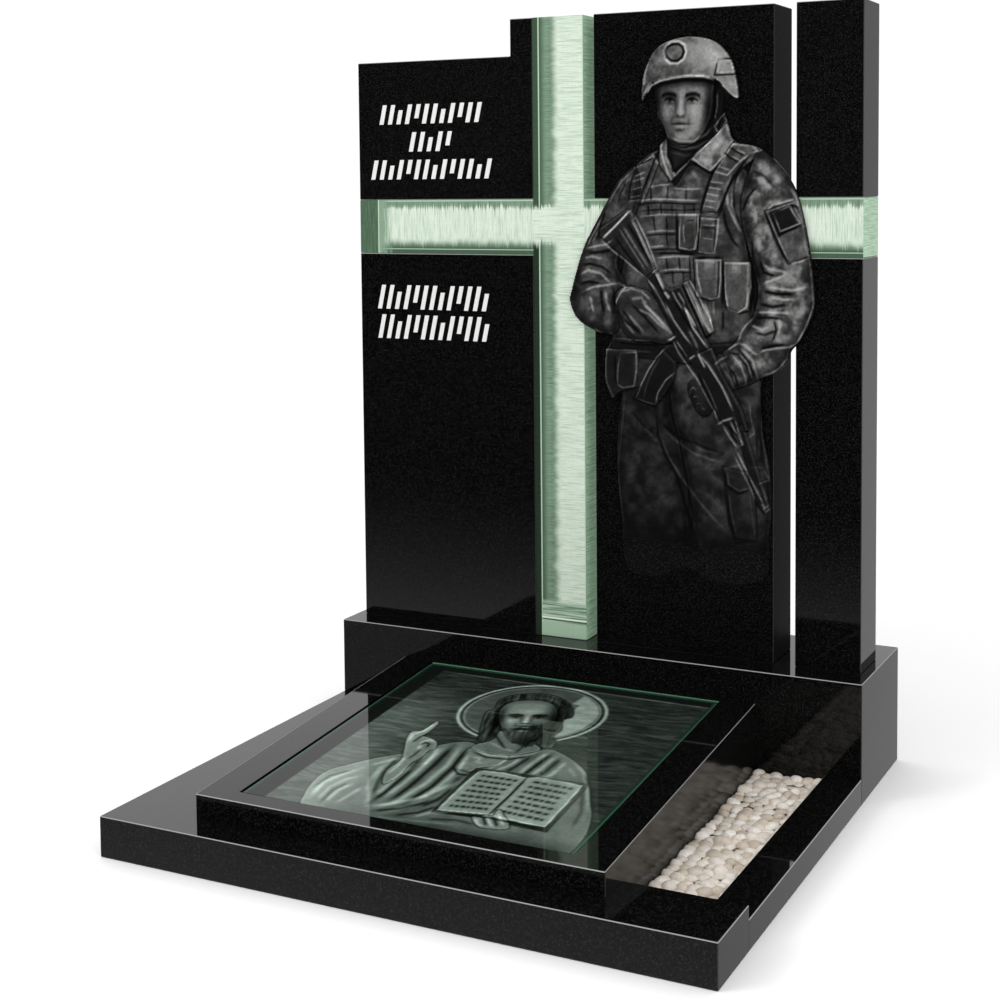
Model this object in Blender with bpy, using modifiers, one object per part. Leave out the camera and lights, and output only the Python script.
"""Military grave monument of black granite: stele with a glass cross, relief figure, plinth and ledger.

Metres, +Z up. X runs across the monument and is 0 on its centre line, Y runs from the front to the
back and is 0 halfway, and Z is 0 on the ground.
"""
import math
import random

import bmesh
import bpy
from mathutils import Matrix, Vector

WIDTH = 1.320
DEPTH = 1.262
HEIGHT = 1.750
JOINT = 0.0003
ARRIS = 0.0015

PLATFORM_HEIGHT = 0.085
STRIP_DEPTH = 0.162
SIDE_STONE_WIDTH = 0.230
CURB_WIDTH = 0.080
CURB_HEIGHT = 0.058

BASE_DEPTH = 0.328
BASE_HEIGHT = 0.268

STELE_SIDE_SETBACK = 0.022
STELE_THICKNESS = 0.132
STELE_SETBACK = 0.074
LEFT_BLOCK_WIDTH = 0.482
LEFT_STEP_WIDTH = 0.058
LEFT_STEP_DROP = 0.088
COLUMN_WIDTH = 0.150
COLUMN_GAP = 0.050
GLASS_BAR = 0.133
GLASS_GAP = 0.026
CROSSBAR_BOTTOM = 1.189

SLAB_WIDTH = 0.900
SLAB_OFFSET = -0.030
SLAB_SETBACK = 0.082
SLAB_EDGE = 0.047
SLAB_RISE = 0.063

PICTURE_SIDE_MARGIN = 0.080
PICTURE_FRONT_MARGIN = 0.042
PICTURE_BACK_MARGIN = 0.015
PICTURE_THICKNESS = 0.015
PICTURE_CLEARANCE = 0.0015
PICTURE_GROOVE = 0.007

PEBBLE_SIZE = 0.026
PEBBLE_FRONT_LEVEL = 0.026
PEBBLE_BACK_LEVEL = 0.046
PEBBLE_CELL = 0.010
PEBBLE_SEED = 7

FLAT_ANGLE = 0.0004
BEYOND = 0.05

NAME_CENTRE = 0.204
NAME_DROP = 0.106
NAME_PITCH = 0.068
NAME_HEIGHT = 0.048
NAME_WIDTHS = (0.288, 0.122, 0.340)
DATE_MARGIN = 0.048
DATE_DROP = 0.079
DATE_PITCH = 0.074
DATE_HEIGHT = 0.060
DATE_WIDTHS = (0.318, 0.318)
STROKE_DEPTH = 0.0015
STROKE_WIDTH = 0.012
STROKE_PITCH = 0.024
STROKE_SLOPE = 0.22
STROKE_SPANS = ((0.0, 1.0), (0.0, 1.0), (0.0, 0.72), (0.0, 1.0), (0.28, 1.0))

FIGURE_HEIGHT = 1.246
FIGURE_FOOT = 0.172
FIGURE_ARM_OVERLAP = 0.043
FIGURE_RELIEF = 0.019
LAYER_EDGE = 0.0015
LAYER_INSET = 0.002

FRONT = -DEPTH / 2
BACK = DEPTH / 2
BASE_FRONT = BACK - BASE_DEPTH
STRIP_BACK = FRONT + STRIP_DEPTH
STELE_FRONT = BASE_FRONT + STELE_SETBACK
STELE_LEFT = -WIDTH / 2 + STELE_SIDE_SETBACK
STELE_RIGHT = WIDTH / 2 - STELE_SIDE_SETBACK
BAR_LEFT = STELE_LEFT + LEFT_BLOCK_WIDTH
BAR_RIGHT = BAR_LEFT + GLASS_BAR
PANEL_LEFT = BAR_RIGHT + GLASS_GAP
LEFT_LOW_TOP = HEIGHT - LEFT_STEP_DROP
COLUMN_LEFT = STELE_RIGHT - COLUMN_WIDTH
PANEL_RIGHT = COLUMN_LEFT - COLUMN_GAP
CROSSBAR_TOP = CROSSBAR_BOTTOM + GLASS_BAR
SLAB_LEFT = SLAB_OFFSET - SLAB_WIDTH / 2
SLAB_RIGHT = SLAB_OFFSET + SLAB_WIDTH / 2
SLAB_FRONT = FRONT + SLAB_SETBACK
SLAB_BACK = BASE_FRONT - JOINT
SLAB_FRONT_TOP = PLATFORM_HEIGHT + SLAB_EDGE
SLAB_TILT = math.atan2(SLAB_RISE, SLAB_BACK - SLAB_FRONT)

# The figure is drawn on a grid of its own, which FIGURE_HEIGHT and FIGURE_RELIEF scale to the stone.
DRAWN_FOOT = 440
DRAWN_TOP = 1686
DRAWN_RIGHT = 531
DRAWN_RELIEF = 19.0
BODY_OUTLINE = [
    (128, 1542), (127, 1588), (138, 1622), (156, 1655), (188, 1677), (242, 1686), (298, 1675),
    (332, 1645), (348, 1610), (358, 1544), (338, 1550), (324, 1520), (333, 1490), (348, 1450),
    (408, 1432), (450, 1396), (480, 1356), (497, 1316), (511, 1262), (523, 1192), (531, 1110),
    (530, 1072), (502, 1008), (480, 982), (470, 955), (438, 926), (411, 908), (414, 800),
    (431, 714), (436, 628), (428, 560), (416, 460), (300, 440), (230, 470), (150, 440), (84, 456),
    (70, 564), (60, 686), (62, 790), (74, 868), (50, 850), (30, 902), (31, 958), (47, 1004),
    (12, 1010), (-37, 1038), (-57, 1078), (-52, 1112), (-22, 1206), (4, 1254), (24, 1290),
    (42, 1322), (64, 1360), (108, 1398), (176, 1448), (186, 1470), (164, 1512), (160, 1545), (138, 1562)]
HELMET = [
    (128, 1542), (128, 1588), (138, 1622), (156, 1655), (188, 1677), (242, 1686), (298, 1675),
    (332, 1645), (348, 1610), (358, 1544), (334, 1558), (312, 1582), (292, 1592), (242, 1596),
    (188, 1594), (150, 1582), (137, 1562)]
FACE = [
    (158, 1580), (162, 1526), (174, 1496), (190, 1472), (220, 1454), (252, 1458), (278, 1478),
    (296, 1512), (299, 1566), (290, 1600), (182, 1600)]
NECK = [(186, 1474), (180, 1440), (198, 1372), (242, 1408), (302, 1460), (298, 1510)]
LEFT_COLLAR = [(186, 1464), (168, 1440), (170, 1398), (196, 1360), (208, 1374), (188, 1414)]
RIGHT_COLLAR = [(298, 1458), (330, 1488), (347, 1450), (322, 1408), (292, 1380), (244, 1408)]
CHEST = [
    (120, 1396), (176, 1420), (204, 1350), (244, 1396), (300, 1374), (344, 1404), (384, 1360),
    (372, 1260), (390, 1100), (388, 1000), (240, 976), (60, 990), (68, 1120), (96, 1240)]
LEFT_STRAP = [(112, 1394), (154, 1424), (168, 1402), (128, 1308), (100, 1312)]
RIGHT_STRAP = [
    (300, 1378), (344, 1444), (392, 1440), (412, 1420), (344, 1372), (308, 1290), (270, 1290)]
LEFT_ARM = [
    (108, 1396), (64, 1360), (42, 1322), (20, 1284), (-22, 1206), (-52, 1112), (-57, 1078),
    (-37, 1038), (12, 1010), (50, 1006), (68, 1026), (62, 1082), (86, 1120), (62, 1172),
    (90, 1240), (122, 1330)]
RIGHT_ARM = [
    (410, 1430), (450, 1396), (480, 1356), (497, 1316), (511, 1262), (523, 1192), (531, 1110),
    (530, 1072), (502, 1008), (478, 982), (470, 956), (438, 927), (408, 916), (378, 900),
    (338, 892), (318, 934), (322, 972), (348, 994), (390, 1054), (404, 1116), (388, 1182),
    (366, 1272), (370, 1344)]
LEFT_LEG = [
    (64, 950), (62, 790), (60, 686), (70, 564), (84, 456), (150, 440), (222, 470), (236, 620),
    (214, 760), (190, 850), (200, 960)]
RIGHT_LEG = [
    (206, 950), (196, 850), (222, 740), (248, 600), (244, 470), (300, 440), (416, 460),
    (428, 560), (434, 640), (428, 720), (414, 800), (406, 930)]
BELT = [(50, 1000), (230, 984), (396, 1000), (400, 962), (230, 944), (48, 962)]
HIP_POUCH = [(34, 972), (112, 972), (112, 884), (70, 872), (48, 852), (30, 902)]
UPPER_POUCHES = [
    [(212, 1288), (260, 1286), (258, 1202), (216, 1204)],
    [(266, 1280), (304, 1276), (300, 1196), (264, 1198)]]
LOWER_POUCHES = [
    [(252, 1184), (312, 1180), (308, 1098), (292, 1090), (258, 1098)],
    [(324, 1178), (384, 1178), (382, 1068), (358, 1062), (328, 1078)]]
THIGH_POCKET = [(322, 712), (396, 700), (400, 548), (352, 538), (334, 584)]
ARM_POCKET = [(420, 1292), (486, 1314), (510, 1262), (522, 1192), (474, 1176), (446, 1224)]
ARM_PATCH = [(432, 1288), (482, 1304), (500, 1262), (452, 1236)]
MAGAZINE = [(176, 978), (212, 944), (204, 906), (184, 874), (158, 842), (104, 858), (128, 892), (150, 930)]
STOCK = [(24, 1234), (20, 1250), (90, 1297), (101, 1292), (160, 1158), (138, 1140)]
RECEIVER = [
    (138, 1140), (160, 1158), (178, 1126), (198, 1114), (224, 1124), (246, 1076), (298, 972),
    (258, 936), (208, 994), (164, 1086)]
SIGHT_RAIL = [(226, 1128), (238, 1133), (298, 1018), (284, 1006)]
HANDGUARD = [
    (242, 958), (296, 984), (322, 924), (368, 844), (382, 798), (356, 788), (320, 816), (274, 892)]
BARREL = [(354, 802), (370, 814), (431, 630), (417, 612), (402, 634)]
LEFT_GLOVE = [
    (60, 1090), (80, 1116), (118, 1116), (150, 1102), (180, 1058), (206, 1008), (188, 988),
    (144, 992), (106, 994), (74, 1024)]
RIGHT_GLOVE = [
    (238, 886), (250, 906), (270, 892), (300, 954), (322, 966), (346, 892), (300, 846),
    (282, 826), (258, 838)]


def new_collection(name):
    collection = bpy.data.collections.new(name)
    bpy.context.scene.collection.children.link(collection)
    return collection


def make_material(name, colour, roughness, metallic=0.0):
    material = bpy.data.materials.new(name)
    material.use_nodes = True
    shader = material.node_tree.nodes["Principled BSDF"]
    shader.inputs["Base Color"].default_value = (*colour, 1.0)
    shader.inputs["Roughness"].default_value = roughness
    shader.inputs["Metallic"].default_value = metallic
    material.diffuse_color = (*colour, 1.0)
    return material


def move_to(obj, collection):
    for owner in list(obj.users_collection):
        owner.objects.unlink(obj)
    collection.objects.link(obj)


def finish(obj, collection, material):
    move_to(obj, collection)
    obj.data.materials.clear()
    obj.data.materials.append(material)
    return obj


def box(name, low, high):
    """A box between two corners, with its scale applied."""
    low, high = Vector(low), Vector(high)
    bpy.ops.mesh.primitive_cube_add(size=1.0, location=(low + high) / 2)
    obj = bpy.context.object
    obj.name = name
    obj.data.name = name
    obj.data.transform(Matrix.Diagonal((*(high - low), 1.0)))
    return obj


def soften(obj, width=ARRIS):
    """The narrow polished arris along a stone's edges."""
    bevel = obj.modifiers.new("Arris", "BEVEL")
    bevel.width = width
    bevel.segments = 1
    bevel.limit_method = "ANGLE"
    bevel.angle_limit = math.radians(40)


def cut(obj, cutter, operation="DIFFERENCE"):
    boolean = obj.modifiers.new(cutter.name, "BOOLEAN")
    boolean.operation = operation
    boolean.solver = "EXACT"
    boolean.object = cutter
    cutter.hide_render = True
    cutter.display_type = "WIRE"
    move_to(cutter, CUTTERS)


def plate(name, points, thickness, matrix, rounded=False, edge=0.0, inset=0.0):
    """A flat outline, drawn in by an inset, given thickness along its own Z and made a closed mesh."""
    curve = bpy.data.curves.new(name, "CURVE")
    curve.dimensions = "2D"
    curve.fill_mode = "BOTH"
    curve.extrude = thickness / 2 - edge
    curve.bevel_depth = edge
    curve.bevel_resolution = 0
    curve.offset = -edge - inset
    curve.resolution_u = 2
    if rounded:
        spline = curve.splines.new("BEZIER")
        spline.bezier_points.add(len(points) - 1)
        for knot, (x, y) in zip(spline.bezier_points, points):
            knot.co = (x, y, 0.0)
            knot.handle_left_type = "AUTO"
            knot.handle_right_type = "AUTO"
    else:
        spline = curve.splines.new("POLY")
        spline.points.add(len(points) - 1)
        for knot, (x, y) in zip(spline.points, points):
            knot.co = (x, y, 0.0, 1.0)
    spline.use_cyclic_u = True
    guide = bpy.data.objects.new(name + "_outline", curve)
    bpy.context.scene.collection.objects.link(guide)
    guide.matrix_world = matrix
    bpy.context.view_layer.update()
    evaluated = guide.evaluated_get(bpy.context.evaluated_depsgraph_get())
    mesh = bpy.data.meshes.new_from_object(evaluated)
    mesh.name = name
    solid = bmesh.new()
    solid.from_mesh(mesh)
    bmesh.ops.remove_doubles(solid, verts=solid.verts, dist=0.00005)
    bmesh.ops.dissolve_limit(solid, angle_limit=FLAT_ANGLE, verts=solid.verts, edges=solid.edges)
    bmesh.ops.recalc_face_normals(solid, faces=solid.faces)
    solid.to_mesh(mesh)
    solid.free()
    obj = bpy.data.objects.new(name, mesh)
    bpy.context.scene.collection.objects.link(obj)
    obj.matrix_world = matrix
    bpy.data.objects.remove(guide)
    bpy.data.curves.remove(curve)
    return obj


def upright(y_middle):
    """Puts an outline's across and up on the world's X and Z, with its thickness along Y."""
    return Matrix.Translation((0.0, y_middle, 0.0)) @ Matrix.Rotation(math.radians(90), 4, "X")


def make_platform():
    """The front strip and the stone along the left side are one L-shaped piece."""
    end = BASE_FRONT - JOINT
    platform = box("platform", (-WIDTH / 2, FRONT, 0.0), (WIDTH / 2, end, PLATFORM_HEIGHT))
    soften(platform)
    low = (-WIDTH / 2 + SIDE_STONE_WIDTH, STRIP_BACK, -BEYOND)
    cut(platform, box("platform_opening", low, (WIDTH / 2 + BEYOND, end + BEYOND, PLATFORM_HEIGHT + BEYOND)))
    return finish(platform, MONUMENT, GRANITE)


def make_right_curb():
    low = (WIDTH / 2 - CURB_WIDTH, STRIP_BACK + JOINT, 0.0)
    high = (WIDTH / 2, BASE_FRONT - JOINT, CURB_HEIGHT)
    curb = box("right_curb", low, high)
    soften(curb)
    return finish(curb, MONUMENT, GRANITE)


def make_base_plinth():
    base = box("base_plinth", (-WIDTH / 2, BASE_FRONT, 0.0), (WIDTH / 2, BACK, BASE_HEIGHT))
    soften(base)
    return finish(base, MONUMENT, GRANITE)


def make_ledger_slab():
    """A thick slab, its top rising to the plinth, rebated over the strip and the left stone."""
    profile = [
        (SLAB_FRONT, 0.0), (SLAB_BACK, 0.0), (SLAB_BACK, SLAB_FRONT_TOP + SLAB_RISE),
        (SLAB_FRONT, SLAB_FRONT_TOP)]
    across = Matrix.Translation((SLAB_OFFSET, 0.0, 0.0))
    turn = Matrix.Rotation(math.radians(90), 4, "Z") @ Matrix.Rotation(math.radians(90), 4, "X")
    slab = plate("ledger_slab", profile, SLAB_WIDTH, across @ turn)
    soften(slab)
    underside = PLATFORM_HEIGHT + JOINT
    low = (SLAB_LEFT - BEYOND, SLAB_FRONT - BEYOND, -BEYOND)
    cut(slab, box("slab_front_rebate", low, (SLAB_RIGHT + BEYOND, STRIP_BACK + JOINT, underside)))
    side_stone = -WIDTH / 2 + SIDE_STONE_WIDTH + JOINT
    cut(slab, box("slab_left_rebate", low, (side_stone, SLAB_BACK + BEYOND, underside)))
    cut(slab, picture_box("slab_recess", PICTURE_CLEARANCE, PICTURE_THICKNESS + JOINT, BEYOND))
    return finish(slab, MONUMENT, GRANITE)


def picture_box(name, growth, depth, above, groove=0.0):
    """The glass plate's box, flush in the slab's sloping top, grown sideways and upwards."""
    slope = math.cos(SLAB_TILT)
    left = SLAB_LEFT + PICTURE_SIDE_MARGIN - growth + groove
    right = SLAB_RIGHT - PICTURE_SIDE_MARGIN + growth
    front = PICTURE_FRONT_MARGIN / slope - growth
    back = (SLAB_BACK - SLAB_FRONT - PICTURE_BACK_MARGIN) / slope + growth
    obj = box(name, (left, front, -depth), (right, back, above))
    obj.data.transform(Matrix.Translation(obj.location))
    obj.location = (0.0, SLAB_FRONT, SLAB_FRONT_TOP)
    obj.rotation_euler = (SLAB_TILT, 0.0, 0.0)
    return obj


def make_engraved_glass():
    """The plate, with an open groove along its left edge."""
    glass = picture_box("engraved_glass", 0.0, PICTURE_THICKNESS, 0.0, PICTURE_GROOVE)
    soften(glass, 0.0008)
    return finish(glass, MONUMENT, GREEN_GLASS)


def pebble_level(y):
    share = (y - STRIP_BACK) / (BASE_FRONT - STRIP_BACK)
    return PEBBLE_FRONT_LEVEL + share * (PEBBLE_BACK_LEVEL - PEBBLE_FRONT_LEVEL)


def make_pebble_bed():
    """Loose pebbles between the slab and the curb, as one bed with a bumpy top."""
    dice = random.Random(PEBBLE_SEED)
    left, right = SLAB_RIGHT + JOINT, WIDTH / 2 - CURB_WIDTH - JOINT
    front, back = STRIP_BACK + JOINT, BASE_FRONT - JOINT
    rows = round((back - front) / PEBBLE_SIZE)
    columns = round((right - left) / PEBBLE_SIZE)
    pebbles = []
    for row in range(rows + 1):
        for column in range(columns + 1):
            shift = 0.5 if row % 2 else 0.0
            x = left + (column + shift + dice.uniform(-0.2, 0.2)) * PEBBLE_SIZE
            y = front + (row + dice.uniform(-0.2, 0.2)) * PEBBLE_SIZE
            pebbles.append((x, y, dice.uniform(-0.25, 0.25) * PEBBLE_SIZE))

    def top(x, y):
        best = -PEBBLE_SIZE
        for px, py, lift in pebbles:
            reach = math.hypot(x - px, y - py) / (0.62 * PEBBLE_SIZE)
            if reach < 1.0:
                best = max(best, lift + 0.36 * PEBBLE_SIZE * (math.sqrt(1.0 - reach * reach) - 1.0))
        return pebble_level(y) + max(best, -0.45 * PEBBLE_SIZE)

    bed = bmesh.new()
    across = round((right - left) / PEBBLE_CELL)
    along = round((back - front) / PEBBLE_CELL)
    bmesh.ops.create_grid(bed, x_segments=across, y_segments=along, size=0.5)
    for vert in bed.verts:
        vert.co.x = left + (vert.co.x + 0.5) * (right - left)
        vert.co.y = front + (vert.co.y + 0.5) * (back - front)
        vert.co.z = top(vert.co.x, vert.co.y)
    rim = [edge for edge in bed.edges if edge.is_boundary]
    walls = bmesh.ops.extrude_edge_only(bed, edges=rim)["geom"]
    for part in walls:
        if isinstance(part, bmesh.types.BMVert):
            part.co.z = 0.0
    foot = [edge for edge in bed.edges if edge.is_boundary]
    bmesh.ops.edgeloop_fill(bed, edges=foot)
    bmesh.ops.recalc_face_normals(bed, faces=bed.faces)
    mesh = bpy.data.meshes.new("pebble_bed")
    bed.to_mesh(mesh)
    bed.free()
    obj = bpy.data.objects.new("pebble_bed", mesh)
    bpy.context.scene.collection.objects.link(obj)
    return finish(obj, MONUMENT, PEBBLES)


def stele_block(name, left, right, bottom, top):
    block = box(name, (left, STELE_FRONT, bottom), (right, STELE_FRONT + STELE_THICKNESS, top))
    soften(block)
    return finish(block, MONUMENT, GRANITE)


def stroke_row(left, right, bottom, top):
    """A row of strokes that all lean one way, each by its middle's left and right and its foot and head."""
    height = top - bottom
    room = right - left - STROKE_WIDTH - STROKE_SLOPE * height
    count = max(1, round(room / STROKE_PITCH))
    strokes = []
    for index in range(count + 1):
        foot, head = STROKE_SPANS[index % len(STROKE_SPANS)]
        x = left + room * index / count + STROKE_SLOPE * height * (foot + head) / 2
        strokes.append((x, x + STROKE_WIDTH, bottom + foot * height, bottom + head * height))
    return strokes


def stroke_cutter(name, rows):
    """All strokes of one block as one cutter, each a separate shallow leaning box."""
    deep = STELE_FRONT + STROKE_DEPTH
    proud = STELE_FRONT - BEYOND
    lean = Matrix.Identity(4)
    lean[0][2] = STROKE_SLOPE
    cutter = bmesh.new()
    for row in rows:
        for left, right, foot, head in stroke_row(*row):
            middle = Vector(((left + right) / 2, (deep + proud) / 2, (foot + head) / 2))
            size = Matrix.Diagonal((right - left, deep - proud, head - foot, 1.0))
            bmesh.ops.create_cube(cutter, size=1.0, matrix=Matrix.Translation(middle) @ lean @ size)
    mesh = bpy.data.meshes.new(name)
    cutter.to_mesh(mesh)
    cutter.free()
    obj = bpy.data.objects.new(name, mesh)
    bpy.context.scene.collection.objects.link(obj)
    return obj


def name_rows():
    """Three centred rows on the upper block."""
    middle = STELE_LEFT + NAME_CENTRE
    rows = []
    for index, width in enumerate(NAME_WIDTHS):
        top = LEFT_LOW_TOP - NAME_DROP - index * NAME_PITCH
        rows.append((middle - width / 2, middle + width / 2, top - NAME_HEIGHT, top))
    return rows


def date_rows():
    """Two rows on the lower block, from one margin."""
    left = STELE_LEFT + DATE_MARGIN
    rows = []
    for index, width in enumerate(DATE_WIDTHS):
        top = CROSSBAR_BOTTOM - DATE_DROP - index * DATE_PITCH
        rows.append((left, left + width, top - DATE_HEIGHT, top))
    return rows


def make_left_blocks():
    """Two inscribed blocks, one above and one below the glass crossbar."""
    lower = box(
        "lower_left_block", (STELE_LEFT, STELE_FRONT, BASE_HEIGHT + JOINT),
        (BAR_LEFT - JOINT, STELE_FRONT + STELE_THICKNESS, CROSSBAR_BOTTOM - JOINT))
    soften(lower)
    cut(lower, stroke_cutter("date_strokes", date_rows()))
    finish(lower, MONUMENT, GRANITE)
    bottom = CROSSBAR_TOP + JOINT
    right = BAR_LEFT - JOINT
    step = BAR_LEFT - LEFT_STEP_WIDTH
    outline = [
        (STELE_LEFT, bottom), (right, bottom), (right, HEIGHT), (step, HEIGHT),
        (step, LEFT_LOW_TOP), (STELE_LEFT, LEFT_LOW_TOP)]
    upper = plate("upper_left_block", outline, STELE_THICKNESS, upright(STELE_FRONT + STELE_THICKNESS / 2))
    soften(upper)
    cut(upper, stroke_cutter("name_strokes", name_rows()))
    finish(upper, MONUMENT, GRANITE)


def make_right_blocks():
    """The figure's panel and the narrow column, each parted by the glass crossbar."""
    low, high = BASE_HEIGHT + JOINT, CROSSBAR_BOTTOM - JOINT
    stele_block("lower_right_panel", PANEL_LEFT, PANEL_RIGHT, low, high)
    stele_block("lower_column", COLUMN_LEFT, STELE_RIGHT, low, high)
    stele_block("upper_right_panel", PANEL_LEFT, PANEL_RIGHT, CROSSBAR_TOP + JOINT, HEIGHT)
    stele_block("upper_column", COLUMN_LEFT, STELE_RIGHT, CROSSBAR_TOP + JOINT, HEIGHT)


def make_glass_cross():
    """One thick glass cross, its upright against the left blocks and clear of the figure's panel."""
    bottom = BASE_HEIGHT + JOINT
    outline = [
        (BAR_LEFT, bottom), (BAR_RIGHT, bottom), (BAR_RIGHT, CROSSBAR_BOTTOM),
        (STELE_RIGHT, CROSSBAR_BOTTOM), (STELE_RIGHT, CROSSBAR_TOP), (BAR_RIGHT, CROSSBAR_TOP),
        (BAR_RIGHT, HEIGHT), (BAR_LEFT, HEIGHT), (BAR_LEFT, CROSSBAR_TOP), (STELE_LEFT, CROSSBAR_TOP),
        (STELE_LEFT, CROSSBAR_BOTTOM), (BAR_LEFT, CROSSBAR_BOTTOM)]
    cross = plate("glass_cross", outline, STELE_THICKNESS, upright(STELE_FRONT + STELE_THICKNESS / 2))
    soften(cross)
    return finish(cross, MONUMENT, GREEN_GLASS)


def figure_layer(name, outline, back, front, rounded=True, inset=0.0):
    """One layer of the relief, between two drawn distances in front of the stele's face."""
    scale = FIGURE_HEIGHT / (DRAWN_TOP - DRAWN_FOOT)
    right = COLUMN_LEFT + FIGURE_ARM_OVERLAP
    foot = BASE_HEIGHT + FIGURE_FOOT
    points = [(right + (x - DRAWN_RIGHT) * scale, foot + (z - DRAWN_FOOT) * scale) for x, z in outline]
    step = (FIGURE_RELIEF - JOINT) / DRAWN_RELIEF
    back, front = JOINT + back * step, JOINT + front * step
    place = upright(STELE_FRONT - (back + front) / 2)
    return plate(name, points, front - back, place, rounded, LAYER_EDGE, inset)


def make_soldier_figure():
    """A contour-cut figure in low relief, across the panel, the crossbar and the column."""
    figure = figure_layer("soldier_figure", BODY_OUTLINE, 0.0, 5.0)
    layers = [
        ("left_leg", LEFT_LEG, 8.0, True), ("right_leg", RIGHT_LEG, 8.5, True),
        ("neck", NECK, 7.0, True), ("chest", CHEST, 9.0, True),
        ("left_collar", LEFT_COLLAR, 9.5, False), ("right_collar", RIGHT_COLLAR, 10.0, False),
        ("left_strap", LEFT_STRAP, 11.0, False), ("right_strap", RIGHT_STRAP, 11.5, False),
        ("face", FACE, 10.5, True), ("helmet", HELMET, 14.0, True),
        ("belt", BELT, 10.2, False), ("hip_pouch", HIP_POUCH, 12.2, False),
        ("left_arm", LEFT_ARM, 12.5, True), ("right_arm", RIGHT_ARM, 12.7, True),
        ("arm_pocket", ARM_POCKET, 14.2, False), ("arm_patch", ARM_PATCH, 15.4, False),
        ("thigh_pocket", THIGH_POCKET, 10.7, False), ("right_glove", RIGHT_GLOVE, 14.7, True),
        ("magazine", MAGAZINE, 15.2, False), ("stock", STOCK, 16.2, False),
        ("receiver", RECEIVER, 16.7, False), ("sight_rail", SIGHT_RAIL, 18.2, False),
        ("handguard", HANDGUARD, 17.2, False), ("barrel", BARREL, 15.7, False),
        ("left_glove", LEFT_GLOVE, DRAWN_RELIEF, True)]
    for index, outline in enumerate(UPPER_POUCHES):
        layers.append((f"upper_pouch_{index + 1}", outline, 12.9 + 0.3 * index, False))
    for index, outline in enumerate(LOWER_POUCHES):
        layers.append((f"lower_pouch_{index + 1}", outline, 13.4 + 0.4 * index, False))
    for index, (name, outline, front, rounded) in enumerate(layers):
        back = 1.2 + 0.09 * index
        cut(figure, figure_layer(name, outline, back, front, rounded, LAYER_INSET), "UNION")
    return finish(figure, MONUMENT, ETCHED_GRANITE)


for leftover in list(bpy.data.objects):
    bpy.data.objects.remove(leftover, do_unlink=True)

MONUMENT = new_collection("military_grave_monument")
CUTTERS = new_collection("cutters")
GRANITE = make_material("black_granite", (0.012, 0.012, 0.013), 0.08)
ETCHED_GRANITE = make_material("etched_granite", (0.07, 0.07, 0.07), 0.45)
GREEN_GLASS = make_material("green_glass", (0.55, 0.72, 0.58), 0.15)
PEBBLES = make_material("cream_pebbles", (0.66, 0.61, 0.54), 0.55)

make_platform()
make_right_curb()
make_pebble_bed()
make_ledger_slab()
make_engraved_glass()
make_base_plinth()
make_left_blocks()
make_glass_cross()
make_right_blocks()
make_soldier_figure()
